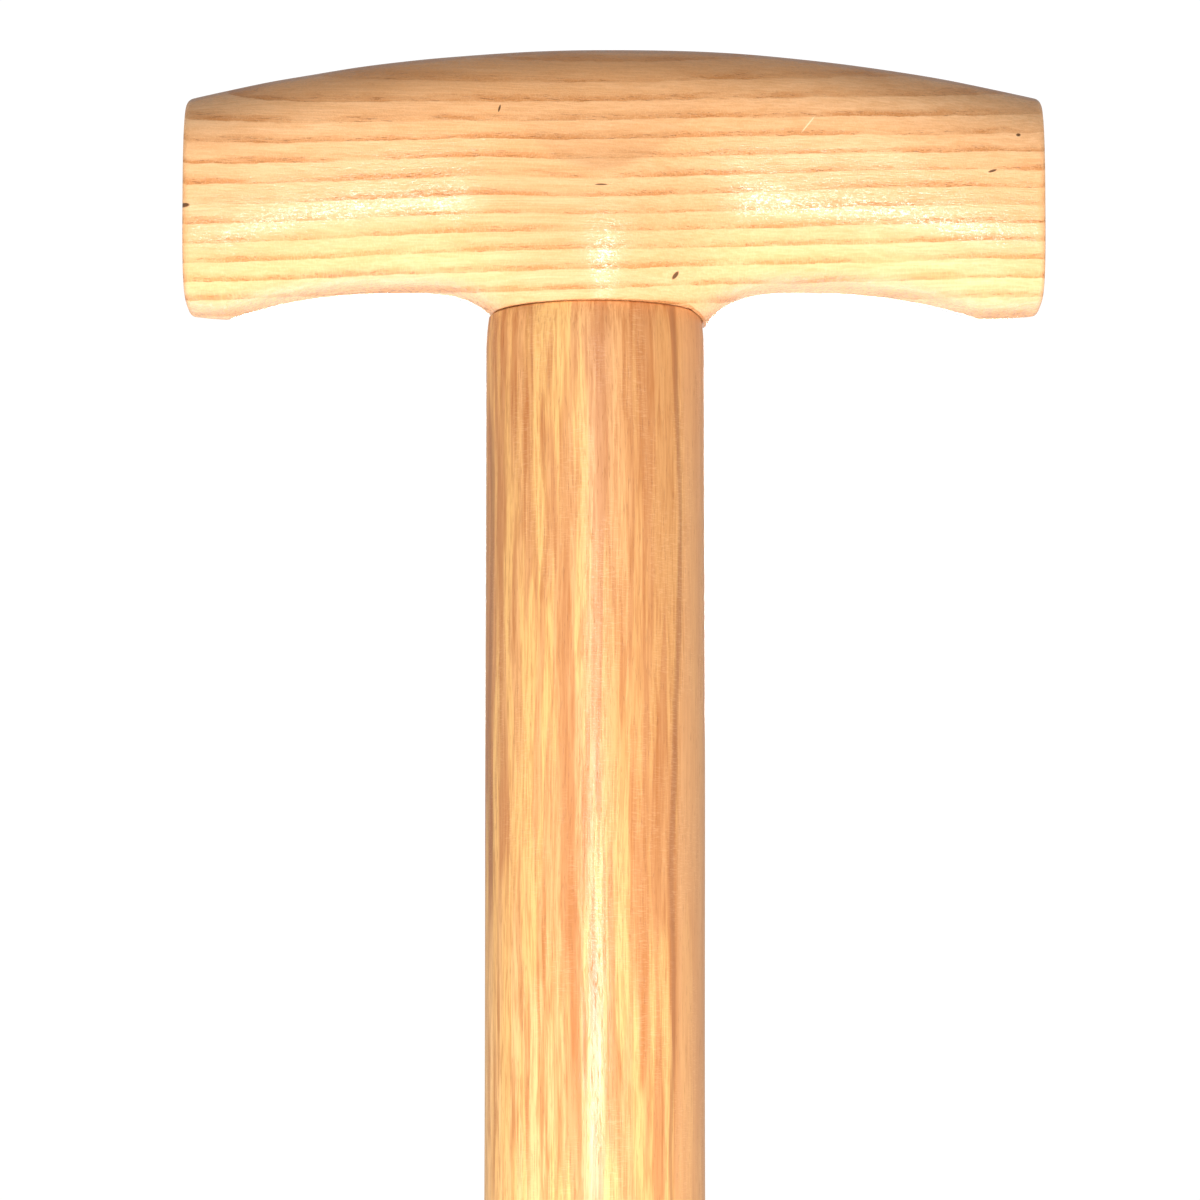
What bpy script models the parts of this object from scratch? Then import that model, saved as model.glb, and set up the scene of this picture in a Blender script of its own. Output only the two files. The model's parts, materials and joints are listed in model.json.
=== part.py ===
"""Garden dibber: an ash T-grip pinned onto an ash shaft that ends in a riveted steel point.

Metres, +Z up, X along the T-grip and the front at -Y. The origin is the tip of the point,
on the shaft's axis. Wooden heights that belong to the grip are measured from its seat,
which is the shoulder of the shaft.
"""
import bpy
import bmesh
from math import cos, hypot, pi, sin, sqrt, tau
from mathutils import Matrix

NAME = "garden_dibber"
FIT_GAP = 0.0003             # clearance between pieces that touch
ROUND_STEPS = 56             # facets round a turned piece

# Heights along the tool, from the tip of the point
SEAT_Z = 0.3573              # shoulder of the shaft, where the grip sits
SOCKET_MOUTH_Z = 0.150       # upper edge of the steel socket
SOCKET_TAPER_Z = 0.122       # the socket is parallel above this, a cone below
SPIGOT_END_Z = 0.050         # lower end of the wood in the socket
RIVET_Z = 0.137

# Shaft
SHAFT_RADIUS = 0.0175
SHAFT_EASE = 0.0005          # the shaft is a little thinner at its upper edge
SHAFT_EASE_LENGTH = 0.006
TENON_RADIUS = 0.0125
TENON_LENGTH = 0.028         # blind: it ends inside the grip
GLUE_ROOM = 0.001            # space over the end of the tenon
SPIGOT_RADIUS = 0.0163

# Grip, with heights above its seat
GRIP_LEFT_X = -0.0652        # the grip sits a little to one side of the shaft
GRIP_RIGHT_X = 0.0712
CROWN_HEIGHT = 0.0427
CROWN_ARC_RADIUS = 0.290
MIDDLE_DEPTH = 0.034         # front to back, before the boss swells it
END_DEPTH = 0.032
UPPER_POWER = 2.5            # 2 is an ellipse, more is squarer
LOWER_POWER = 3.4
RECESS_HEIGHT = 0.0043       # top of each finger recess
RECESS_MIDDLE_X = 0.0014     # halfway between the two recesses
RECESS_SPACING = 0.070       # between the tops of the two recesses
RECESS_ARC_RADIUS = 0.078
FOOT_HEIGHT = 0.0001         # underside near the ends
FOOT_RISE = 0.0006           # each foot is sanded up towards its end
FOOT_RISE_START = 0.060      # from the middle of the grip
END_ROUNDING = 0.0010
BOSS_MIDDLE_X = 0.0012       # the boss leans a little off the shaft's axis
BOSS_RADIUS = 0.0108         # core of the boss, before the blend swells it
BOSS_NARROWING = 1.27        # how much narrower the core is along X
BOSS_TAPER = 0.35            # how much slimmer the core gets with height
BOSS_BLEND = 0.029           # size of the flare between core and bar
BOSS_TOP = 0.005             # the core ends inside the bar
BOSS_STOCK = 0.004           # boss left long, then faced off at the seat
FACING_REACH = 0.03
FACING_DEPTH = 0.015
FACING_LEVEL_X = 0.0150      # right of this the boss hangs a little below the seat
FACING_SLOPE = 2.2           # run over drop of the face there

# Pin through the back of the grip into the tenon
PIN_HEIGHT = 0.0155          # above the seat
PIN_RADIUS = 0.0015
PIN_HEAD_RADIUS = 0.0024
PIN_HEAD_LENGTH = 0.0012
PIN_NECK = 0.0006
PIN_SINK = 0.0003            # the head is driven just below the surface
PIN_TIP_Y = -0.008
PIN_TIP_LENGTH = 0.002

# Steel point
SOCKET_WALL = 0.0015
POINT_WALL = 0.0022          # the wall is thicker where the socket ends
NOSE_RADIUS = 0.0032
NOSE_FLAT_RADIUS = 0.0012
CONE_SWELL = 0.0022          # how far the cone's side stands out from straight
CONE_STEPS = 14

# Rivet
RIVET_RADIUS = 0.0025
RIVET_HEAD_RADIUS = 0.0045
RIVET_HEAD_HEIGHT = 0.0018
RIVET_HEAD_STEPS = 5


def new_collection(name):
    """A collection under the scene."""
    collection = bpy.data.collections.new(name)
    bpy.context.scene.collection.children.link(collection)
    return collection


def new_material(name, color, roughness, metallic=0.0):
    """A Principled material in one colour."""
    material = bpy.data.materials.new(name)
    material.use_nodes = True
    shader = material.node_tree.nodes["Principled BSDF"]
    shader.inputs["Base Color"].default_value = (*color, 1.0)
    shader.inputs["Roughness"].default_value = roughness
    shader.inputs["Metallic"].default_value = metallic
    return material


def new_object(name, mesh, collection, material=None):
    """An object of one mesh, in one collection."""
    piece = bpy.data.objects.new(name, mesh)
    collection.objects.link(piece)
    if material:
        mesh.materials.append(material)
    return piece


def make_cutter(piece):
    """Marks an object as a guide that only cuts others."""
    piece.hide_render = True
    piece.display_type = "WIRE"


def cut(piece, cutter):
    """Takes the cutter's shape out of a piece."""
    boolean = piece.modifiers.new("cut_" + cutter.name, "BOOLEAN")
    boolean.operation = "DIFFERENCE"
    boolean.solver = "EXACT"
    boolean.object = cutter


def turned(name, outline, collection, material=None):
    """A turned solid: an outline of (radius, height) points, spun round Z."""
    mesh = bpy.data.meshes.new(name)
    points = [(radius, 0.0, height) for radius, height in outline]
    mesh.from_pydata(points, [(i, i + 1) for i in range(len(points) - 1)], [])
    piece = new_object(name, mesh, collection, material)
    spin = piece.modifiers.new("turn", "SCREW")
    spin.axis = "Z"
    spin.angle = tau
    spin.steps = ROUND_STEPS
    spin.render_steps = ROUND_STEPS
    spin.use_merge_vertices = True
    spin.merge_threshold = 0.00001
    spin.use_smooth_shade = True
    return piece


def smooth_round(piece, angle=0.6):
    """Shades a piece smooth, apart from its real edges."""
    piece.data.shade_smooth()
    piece.data.set_sharp_from_angle(angle=angle)


# ---------------------------------------------------------------- the grip's form

def blend_union(first, second, size):
    """The smaller of two distances, rounded over where they are close."""
    share = max(size - abs(first - second), 0.0) / size
    return min(first, second) - share * share * size / 4.0


def grip_middle_x():
    return (GRIP_LEFT_X + GRIP_RIGHT_X) / 2.0


def grip_half_length():
    return (GRIP_RIGHT_X - GRIP_LEFT_X) / 2.0


def crown_height(x):
    """Top of the grip above the seat: one long arc."""
    run = x - grip_middle_x()
    return CROWN_HEIGHT - CROWN_ARC_RADIUS + sqrt(CROWN_ARC_RADIUS ** 2 - run ** 2)


def underside_height(x):
    """Bottom of the grip above the seat: flat over the boss, then an arc down to each foot."""
    run = max(abs(x - RECESS_MIDDLE_X) - RECESS_SPACING / 2.0, 0.0)
    arc = RECESS_HEIGHT - RECESS_ARC_RADIUS + sqrt(RECESS_ARC_RADIUS ** 2 - run ** 2)
    share = max(abs(x - grip_middle_x()) - FOOT_RISE_START, 0.0) / (grip_half_length() - FOOT_RISE_START)
    return max(arc, FOOT_HEIGHT + FOOT_RISE * share ** 2)


def half_depth(x):
    """Half of the grip's depth, front to back, least at the ends."""
    share = (x - grip_middle_x()) / grip_half_length()
    return (MIDDLE_DEPTH - (MIDDLE_DEPTH - END_DEPTH) * share * share) / 2.0


def grip_distance(x, y, z):
    """Below 0 inside the grip's wood: a rounded bar with a boss flared into its underside."""
    top = crown_height(x)
    bottom = underside_height(x)
    half_height = (top - bottom) / 2.0
    depth = half_depth(x)
    rise = z - (top + bottom) / 2.0
    power = UPPER_POWER if rise > 0.0 else LOWER_POWER
    across = (abs(y) / depth) ** power
    upward = (abs(rise) / half_height) ** power
    bar = ((across + upward) ** (1.0 / power) - 1.0) * min(depth, half_height)
    side = hypot((x - BOSS_MIDDLE_X) * BOSS_NARROWING, y) - BOSS_RADIUS + BOSS_TAPER * z
    core = max(side, -BOSS_STOCK - z, z - BOSS_TOP)
    return blend_union(bar, core, BOSS_BLEND)


def section_radius(x, middle_height, turn):
    """Distance from the section's middle to the surface of the grip, in one direction."""
    near = 0.0
    far = 0.05
    for _ in range(40):
        radius = (near + far) / 2.0
        if grip_distance(x, radius * cos(turn), middle_height + radius * sin(turn)) < 0.0:
            near = radius
        else:
            far = radius
    return near


def grip_stations():
    """(x, inset) of each section: the ends are rounded, and the boss gets closer sections."""
    rounding_steps = 3
    stations = []
    for step in range(rounding_steps):
        turn = step / rounding_steps * pi / 2.0
        stations.append((END_ROUNDING * (1.0 - cos(turn)), END_ROUNDING * (1.0 - sin(turn))))
    left_end = [(GRIP_LEFT_X + run, inset) for run, inset in stations]
    right_end = [(GRIP_RIGHT_X - run, inset) for run, inset in reversed(stations)]
    wide = 0.004
    close = 0.0015
    boss_reach = 0.024
    middle = []
    x = GRIP_LEFT_X + END_ROUNDING
    while x < GRIP_RIGHT_X - END_ROUNDING - close:
        middle.append((x, 0.0))
        x += close if abs(x) < boss_reach else wide
    middle.append((GRIP_RIGHT_X - END_ROUNDING, 0.0))
    return left_end + middle + right_end


def grip_mesh(name):
    """The grip before it is bored: sections across X, joined into a closed skin."""
    sides = 48
    skin = bmesh.new()
    rings = []
    for x, inset in grip_stations():
        middle_height = (crown_height(x) + underside_height(x)) / 2.0
        ring = []
        for side in range(sides):
            turn = side / sides * tau
            radius = section_radius(x, middle_height, turn) - inset
            y = radius * cos(turn)
            z = SEAT_Z + middle_height + radius * sin(turn)
            ring.append(skin.verts.new((x, y, z)))
        rings.append(ring)
    for ring, following in zip(rings, rings[1:]):
        for side in range(sides):
            after = (side + 1) % sides
            skin.faces.new((ring[side], ring[after], following[after], following[side]))
    skin.faces.new(reversed(rings[0]))
    skin.faces.new(rings[-1])
    bmesh.ops.recalc_face_normals(skin, faces=skin.faces)
    mesh = bpy.data.meshes.new(name)
    skin.to_mesh(mesh)
    skin.free()
    return mesh


def add_mortise(cutters):
    """The blind round mortise, and the room for the shaft's own diameter below it."""
    mortise_top = SEAT_Z + TENON_LENGTH + GLUE_ROOM
    mortise = turned("grip_mortise", [
        (0.0, mortise_top),
        (TENON_RADIUS + FIT_GAP, mortise_top),
        (TENON_RADIUS + FIT_GAP, SEAT_Z),
        (SHAFT_RADIUS + FIT_GAP, SEAT_Z),
        (SHAFT_RADIUS + FIT_GAP, SEAT_Z - FACING_DEPTH),
        (0.0, SEAT_Z - FACING_DEPTH),
    ], cutters)
    make_cutter(mortise)
    return mortise


def add_facing(cutters):
    """What the boss is faced off with: level at the seat, then sloping down at its right side."""
    block = bmesh.new()
    bmesh.ops.create_cube(block, size=1.0)
    for corner in block.verts:
        below = corner.co.z < 0.0
        right = FACING_LEVEL_X + (FACING_SLOPE * FACING_DEPTH if below else 0.0)
        corner.co.x = right if corner.co.x > 0.0 else -FACING_REACH
        corner.co.y *= 2.0 * FACING_REACH
        corner.co.z = SEAT_Z - (FACING_DEPTH if below else 0.0)
    mesh = bpy.data.meshes.new("grip_facing")
    block.to_mesh(mesh)
    block.free()
    facing = new_object("grip_facing", mesh, cutters)
    make_cutter(facing)
    return facing


def add_grip(parts, cutters):
    """The cross-grip, with its mortise, its faced boss and the hole for the pin."""
    material = new_material("ash_grip", (0.78, 0.58, 0.36), 0.42)
    grip = new_object("t_grip", grip_mesh("t_grip"), parts, material)
    smooth_round(grip)
    for cutter in cutters:
        cut(grip, cutter)


# ---------------------------------------------------------------- pin, shaft and rivet

def lay_along_y(piece, height):
    """Turns a spun piece so that its own Z is +Y, at a height above the tip of the tool."""
    piece.matrix_world = Matrix.Translation((0.0, 0.0, height)) @ Matrix.Rotation(-pi / 2.0, 4, "X")


def pin_head_y():
    """Where the outer face of the pin's head lies, just under the back of the grip."""
    return section_radius(0.0, PIN_HEIGHT, 0.0) - PIN_SINK


def add_pin(parts):
    """The steel pin, with a small sunk head at the back and a blunt tip in the tenon."""
    head = pin_head_y()
    outline = [
        (0.0, head),
        (PIN_HEAD_RADIUS, head),
        (PIN_HEAD_RADIUS, head - PIN_HEAD_LENGTH),
        (PIN_RADIUS, head - PIN_HEAD_LENGTH - PIN_NECK),
        (PIN_RADIUS, PIN_TIP_Y + PIN_TIP_LENGTH),
        (PIN_RADIUS / 2.0, PIN_TIP_Y),
        (0.0, PIN_TIP_Y),
    ]
    material = new_material("pin_steel", (0.5, 0.5, 0.51), 0.4, 1.0)
    pin = turned("grip_pin", outline, parts, material)
    lay_along_y(pin, SEAT_Z + PIN_HEIGHT)


def pin_hole(cutters):
    """The hole for the pin, open at the back of the grip."""
    head = pin_head_y()
    hole = turned("pin_hole", [
        (0.0, FACING_REACH),
        (PIN_HEAD_RADIUS + FIT_GAP, FACING_REACH),
        (PIN_HEAD_RADIUS + FIT_GAP, head - PIN_HEAD_LENGTH - FIT_GAP),
        (PIN_RADIUS + FIT_GAP, head - PIN_HEAD_LENGTH - PIN_NECK - FIT_GAP),
        (PIN_RADIUS + FIT_GAP, PIN_TIP_Y - FIT_GAP),
        (0.0, PIN_TIP_Y - FIT_GAP),
    ], cutters)
    lay_along_y(hole, SEAT_Z + PIN_HEIGHT)
    make_cutter(hole)
    return hole


def cone_radius(z):
    """Outside of the steel cone: straight from socket to nose, with a slight swell."""
    share = (z - NOSE_RADIUS) / (SOCKET_TAPER_Z - NOSE_RADIUS)
    straight = NOSE_RADIUS + (socket_radius() - NOSE_RADIUS) * share
    return straight + CONE_SWELL * sin(pi * share) * (1.0 + share) / 1.5


def socket_radius():
    """Outside of the socket's parallel stretch."""
    return SPIGOT_RADIUS + FIT_GAP + SOCKET_WALL


def wall_at(z):
    """Thickness of the socket's wall, which grows towards the solid nose."""
    share = (SOCKET_TAPER_Z - z) / (SOCKET_TAPER_Z - SPIGOT_END_Z)
    return SOCKET_WALL + (POINT_WALL - SOCKET_WALL) * max(share, 0.0)


def bore_profile():
    """(radius, height) points down the inside of the socket's cone."""
    points = []
    for step in range(CONE_STEPS // 2 + 1):
        z = SOCKET_TAPER_Z + (SPIGOT_END_Z - SOCKET_TAPER_Z) * step / (CONE_STEPS // 2)
        points.append((cone_radius(z) - wall_at(z), z))
    return points


def rivet_hole(cutters):
    """A cross bore for the rivet, from front to back."""
    reach = 0.03
    hole = turned("rivet_hole", [
        (0.0, reach),
        (RIVET_RADIUS + FIT_GAP, reach),
        (RIVET_RADIUS + FIT_GAP, -reach),
        (0.0, -reach),
    ], cutters)
    lay_along_y(hole, RIVET_Z)
    make_cutter(hole)
    return hole


def add_shaft(parts, cutters):
    """The shaft: a tenon above the shoulder and a turned spigot in the socket."""
    shoulder = SEAT_Z - FIT_GAP
    tenon_top = SEAT_Z + TENON_LENGTH
    tenon_break = 0.001
    outline = [
        (0.0, tenon_top),
        (TENON_RADIUS - tenon_break, tenon_top),
        (TENON_RADIUS, tenon_top - tenon_break),
        (TENON_RADIUS, shoulder),
    ]
    ease_steps = 4
    for step in range(ease_steps + 1):
        share = 1.0 - step / ease_steps
        outline.append((SHAFT_RADIUS - SHAFT_EASE * share * share,
                        shoulder - SHAFT_EASE_LENGTH * (1.0 - share)))
    outline.append((SHAFT_RADIUS, SOCKET_MOUTH_Z + FIT_GAP))
    outline.append((SPIGOT_RADIUS, SOCKET_MOUTH_Z + FIT_GAP))
    outline += [(radius - FIT_GAP, z) for radius, z in bore_profile()]
    outline[-1] = (outline[-1][0], SPIGOT_END_Z + FIT_GAP)
    outline.append((0.0, SPIGOT_END_Z + FIT_GAP))
    material = new_material("ash_shaft", (0.72, 0.48, 0.27), 0.4)
    shaft = turned("shaft", outline, parts, material)
    for cutter in cutters:
        cut(shaft, cutter)


def add_point(parts, hole):
    """The steel point: a parallel socket mouth, then a cone with a solid blunt nose."""
    mouth_break = 0.0004
    outline = [(0.0, SPIGOT_END_Z)]
    outline += reversed(bore_profile())
    outline.append((SPIGOT_RADIUS + FIT_GAP, SOCKET_MOUTH_Z))
    outline.append((socket_radius() - mouth_break, SOCKET_MOUTH_Z))
    outline.append((socket_radius(), SOCKET_MOUTH_Z - mouth_break))
    for step in range(CONE_STEPS + 1):
        z = SOCKET_TAPER_Z + (NOSE_RADIUS - SOCKET_TAPER_Z) * step / CONE_STEPS
        outline.append((cone_radius(z), z))
    nose_steps = 4
    for step in range(1, nose_steps + 1):
        turn = step / nose_steps * pi / 2.0
        side = NOSE_RADIUS - NOSE_FLAT_RADIUS
        outline.append((NOSE_FLAT_RADIUS + side * cos(turn), NOSE_RADIUS * (1.0 - sin(turn))))
    outline.append((0.0, 0.0))
    material = new_material("point_steel", (0.56, 0.56, 0.57), 0.3, 1.0)
    point = turned("steel_point", outline, parts, material)
    cut(point, hole)


def add_rivet(parts):
    """The cross rivet, with a domed head on each side of the socket."""
    seat = socket_radius() + FIT_GAP
    dome = []
    for step in range(RIVET_HEAD_STEPS + 1):
        turn = step / RIVET_HEAD_STEPS * pi / 2.0
        dome.append((RIVET_HEAD_RADIUS * sin(turn), seat + RIVET_HEAD_HEIGHT * cos(turn)))
    outline = dome + [(RIVET_RADIUS, seat), (RIVET_RADIUS, -seat)]
    outline += [(radius, -height) for radius, height in reversed(dome)]
    material = new_material("rivet_steel", (0.5, 0.5, 0.51), 0.35, 1.0)
    rivet = turned("socket_rivet", outline, parts, material)
    lay_along_y(rivet, RIVET_Z)


def main():
    for old in list(bpy.data.objects):
        bpy.data.objects.remove(old, do_unlink=True)
    parts = new_collection(NAME)
    cutters = new_collection(NAME + "_cutters")
    pin_bore = pin_hole(cutters)
    rivet_bore = rivet_hole(cutters)
    add_grip(parts, (add_mortise(cutters), add_facing(cutters), pin_bore))
    add_shaft(parts, (pin_bore, rivet_bore))
    add_pin(parts)
    add_point(parts, rivet_bore)
    add_rivet(parts)


main()
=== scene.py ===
import json
from math import cos, pi, radians, sin, tau

import bmesh
import bpy
import numpy as np
from mathutils import Matrix, Vector

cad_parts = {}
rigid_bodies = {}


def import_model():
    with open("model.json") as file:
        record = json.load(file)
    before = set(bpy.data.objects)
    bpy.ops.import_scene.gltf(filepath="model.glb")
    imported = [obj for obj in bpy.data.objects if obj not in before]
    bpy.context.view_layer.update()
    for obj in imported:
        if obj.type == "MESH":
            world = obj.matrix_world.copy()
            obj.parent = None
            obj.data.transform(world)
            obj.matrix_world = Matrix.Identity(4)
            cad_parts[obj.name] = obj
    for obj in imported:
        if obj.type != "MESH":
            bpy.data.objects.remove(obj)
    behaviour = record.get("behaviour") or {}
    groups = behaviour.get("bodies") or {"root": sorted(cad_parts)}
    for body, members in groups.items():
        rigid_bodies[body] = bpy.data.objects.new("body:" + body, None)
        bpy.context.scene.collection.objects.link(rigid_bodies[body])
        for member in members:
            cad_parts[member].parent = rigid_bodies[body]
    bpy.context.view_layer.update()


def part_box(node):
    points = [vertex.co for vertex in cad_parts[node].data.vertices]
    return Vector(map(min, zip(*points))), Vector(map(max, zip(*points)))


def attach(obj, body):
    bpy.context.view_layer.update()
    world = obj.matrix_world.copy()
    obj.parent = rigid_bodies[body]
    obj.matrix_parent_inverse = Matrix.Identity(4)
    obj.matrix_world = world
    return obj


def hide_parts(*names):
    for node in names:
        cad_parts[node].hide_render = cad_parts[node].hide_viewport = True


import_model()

BODY = "root"

# ---------------------------------------------------------------- sizes from the frame

GRIP_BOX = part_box("t_grip")
SHAFT_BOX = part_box("shaft")
POINT_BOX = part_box("steel_point")
RIVET_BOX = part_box("socket_rivet")
PIN_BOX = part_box("grip_pin")

CROWN_HEIGHT = 0.0427        # heights of the grip's form are measured from its seat
SEAT_Z = GRIP_BOX[1][2] - CROWN_HEIGHT
GRIP_LEFT_X = GRIP_BOX[0][0]
GRIP_RIGHT_X = GRIP_BOX[1][0]
GRIP_MIDDLE_X = (GRIP_LEFT_X + GRIP_RIGHT_X) / 2.0
GRIP_HALF_LENGTH = (GRIP_RIGHT_X - GRIP_LEFT_X) / 2.0
CROWN_ARC_RADIUS = 0.290
MIDDLE_DEPTH = 0.034
END_DEPTH = 0.032
UPPER_POWER = 2.5
LOWER_POWER = 3.4
RECESS_HEIGHT = 0.0043
RECESS_MIDDLE_X = 0.0014
RECESS_SPACING = 0.070
RECESS_ARC_RADIUS = 0.078
FOOT_HEIGHT = 0.0001
FOOT_RISE = 0.0006
FOOT_RISE_START = 0.060
END_ROUNDING = 0.0010
BOSS_MIDDLE_X = 0.0012
BOSS_RADIUS = 0.0108
BOSS_NARROWING = 1.27
BOSS_TAPER = 0.35
BOSS_BLEND = 0.029
BOSS_TOP = 0.005
BOSS_STOCK = 0.004
FACING_REACH = 0.03
FACING_DEPTH = 0.015
FACING_LEVEL_X = 0.0150
FACING_SLOPE = 2.2

SHAFT_RADIUS = SHAFT_BOX[1][0]
SHAFT_EASE = 0.0005
SHAFT_EASE_LENGTH = 0.006
TENON_RADIUS = 0.0125
TENON_TOP_Z = SHAFT_BOX[1][2]
SPIGOT_RADIUS = 0.0163
SHAFT_END_Z = SHAFT_BOX[0][2]

SOCKET_MOUTH_Z = POINT_BOX[1][2]
SOCKET_TAPER_Z = 0.122
SOCKET_RADIUS = POINT_BOX[1][0]
SOCKET_WALL = 0.0015
NOSE_RADIUS = 0.0032
NOSE_FLAT_RADIUS = 0.0012
CONE_SWELL = 0.0022

RIVET_Z = (RIVET_BOX[0][2] + RIVET_BOX[1][2]) / 2.0
RIVET_RADIUS = 0.0025
RIVET_HEAD_RADIUS = RIVET_BOX[1][0]
RIVET_HEAD_HEIGHT = 0.0018

PIN_Z = (PIN_BOX[0][2] + PIN_BOX[1][2]) / 2.0
PIN_RADIUS = 0.0015
PIN_HEAD_RADIUS = PIN_BOX[1][0]
PIN_HEAD_LENGTH = 0.0012
PIN_NECK = 0.0006
PIN_TIP_LENGTH = 0.002

PLAY = 0.0001                # round the tenon, the rivet and the pin in their holes
MOUTH_PLAY = 0.00015         # round the shaft, where the mouth of the mortise takes its top
FINISH_ALLOWANCE = 0.00007   # keeps the hand finish inside the CAD surface of the grip
WOBBLE_ALLOWANCE = 0.00008   # keeps the shaft's slight wobble inside its CAD radius

SHARP_ANGLE = 0.6            # radians; an edge that turns more than this is shaded as a crease
MORTISE_SIDES = 160
HOLE_SIDES = 48


# ---------------------------------------------------------------- meshes

def new_piece(name, mesh, material, node):
    """A fine piece that stands for a CAD node and rides on its body."""
    piece = bpy.data.objects.new(name, mesh)
    bpy.context.scene.collection.objects.link(piece)
    mesh.materials.clear()
    mesh.materials.append(material)
    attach(piece, BODY)
    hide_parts(node)
    return piece


def skin_mesh(name, rings):
    """A closed mesh through rings of points. A ring of one point closes an end."""
    skin = bmesh.new()
    loops = [[skin.verts.new(point) for point in ring] for ring in rings]
    for loop, following in zip(loops, loops[1:]):
        count = max(len(loop), len(following))
        for side in range(count):
            after = (side + 1) % count
            corners = [loop[side % len(loop)], loop[after % len(loop)],
                       following[after % len(following)], following[side % len(following)]]
            skin.faces.new(list(dict.fromkeys(corners)))
    for loop in (loops[0], loops[-1]):
        if len(loop) > 1:
            skin.faces.new(loop)
    bmesh.ops.recalc_face_normals(skin, faces=skin.faces)
    mesh = bpy.data.meshes.new(name)
    skin.to_mesh(mesh)
    skin.free()
    mesh.shade_smooth()
    mesh.set_sharp_from_angle(angle=SHARP_ANGLE)
    return mesh


def turned_rings(outline, sides):
    """Rings round Z for an outline of (radius, height) points."""
    rings = []
    for radius, height in outline:
        if radius == 0.0:
            rings.append([(0.0, 0.0, height)])
        else:
            turns = [tau * side / sides for side in range(sides)]
            rings.append([(radius * cos(turn), radius * sin(turn), height) for turn in turns])
    return rings


def cut_mesh(mesh, cutters):
    """The mesh less the cutters' meshes, as a new mesh."""
    scene_objects = bpy.context.scene.collection.objects
    blank = bpy.data.objects.new("blank", mesh)
    scene_objects.link(blank)
    tools = []
    for cutter in cutters:
        tool = bpy.data.objects.new("tool", cutter)
        scene_objects.link(tool)
        tools.append(tool)
        boolean = blank.modifiers.new("cut", "BOOLEAN")
        boolean.operation = "DIFFERENCE"
        boolean.solver = "EXACT"
        boolean.object = tool
    bpy.context.view_layer.update()
    evaluated = blank.evaluated_get(bpy.context.evaluated_depsgraph_get())
    result = bpy.data.meshes.new_from_object(evaluated)
    result.name = mesh.name
    for item in tools + [blank]:
        bpy.data.objects.remove(item, do_unlink=True)
    result.shade_smooth()
    result.set_sharp_from_angle(angle=SHARP_ANGLE)
    return result


# ---------------------------------------------------------------- the grip's form

def blend_union(first, second, size):
    """The smaller of two distances, rounded over where they are close."""
    share = np.maximum(size - np.abs(first - second), 0.0) / size
    return np.minimum(first, second) - share * share * size / 4.0


def crown_height(x):
    """Top of the grip above the seat: one long arc."""
    rise = np.sqrt(CROWN_ARC_RADIUS ** 2 - (x - GRIP_MIDDLE_X) ** 2)
    return CROWN_HEIGHT - CROWN_ARC_RADIUS + rise


def underside_height(x):
    """Bottom of the grip above the seat: flat over the boss, then an arc down to each foot."""
    run = np.maximum(np.abs(x - RECESS_MIDDLE_X) - RECESS_SPACING / 2.0, 0.0)
    arc = RECESS_HEIGHT - RECESS_ARC_RADIUS + np.sqrt(RECESS_ARC_RADIUS ** 2 - run ** 2)
    beyond = np.maximum(np.abs(x - GRIP_MIDDLE_X) - FOOT_RISE_START, 0.0)
    share = beyond / (GRIP_HALF_LENGTH - FOOT_RISE_START)
    return np.maximum(arc, FOOT_HEIGHT + FOOT_RISE * share ** 2)


def half_depth(x):
    """Half of the grip's depth, front to back, least at the ends."""
    share = (x - GRIP_MIDDLE_X) / GRIP_HALF_LENGTH
    return (MIDDLE_DEPTH - (MIDDLE_DEPTH - END_DEPTH) * share * share) / 2.0


def grip_distance(x, y, z):
    """Below 0 inside the grip's wood: a rounded bar with a boss flared into its underside."""
    top = crown_height(x)
    bottom = underside_height(x)
    half_height = (top - bottom) / 2.0
    depth = half_depth(x)
    rise = z - (top + bottom) / 2.0
    power = np.where(rise > 0.0, UPPER_POWER, LOWER_POWER)
    across = (np.abs(y) / depth) ** power
    upward = (np.abs(rise) / half_height) ** power
    bar = ((across + upward) ** (1.0 / power) - 1.0) * np.minimum(depth, half_height)
    side = np.hypot((x - BOSS_MIDDLE_X) * BOSS_NARROWING, y) - BOSS_RADIUS + BOSS_TAPER * z
    core = np.maximum(np.maximum(side, -BOSS_STOCK - z), z - BOSS_TOP)
    return blend_union(bar, core, BOSS_BLEND)


def surface_run(x, y, z, step_y, step_z):
    """How far each point can go along its direction before it leaves the grip."""
    outside = 0.05
    halvings = 26
    near = np.zeros(np.broadcast(x, y, z, step_y, step_z).shape)
    far = near + outside
    for _ in range(halvings):
        run = (near + far) / 2.0
        inside = grip_distance(x, y + run * step_y, z + run * step_z) < 0.0
        near = np.where(inside, run, near)
        far = np.where(inside, far, run)
    return near


def hand_finish(x, y, z):
    """The slight waviness that sanding leaves, a few hundredths of a millimetre."""
    slow = np.sin(x * 170.0 + 3.0 * np.sin(y * 120.0 + 1.0)) * np.cos(z * 210.0 + x * 60.0)
    quick = np.sin(x * 410.0 + z * 333.0 + 1.3) * np.cos(y * 380.0 - z * 290.0)
    return 0.00005 * slow + 0.00002 * quick


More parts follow.
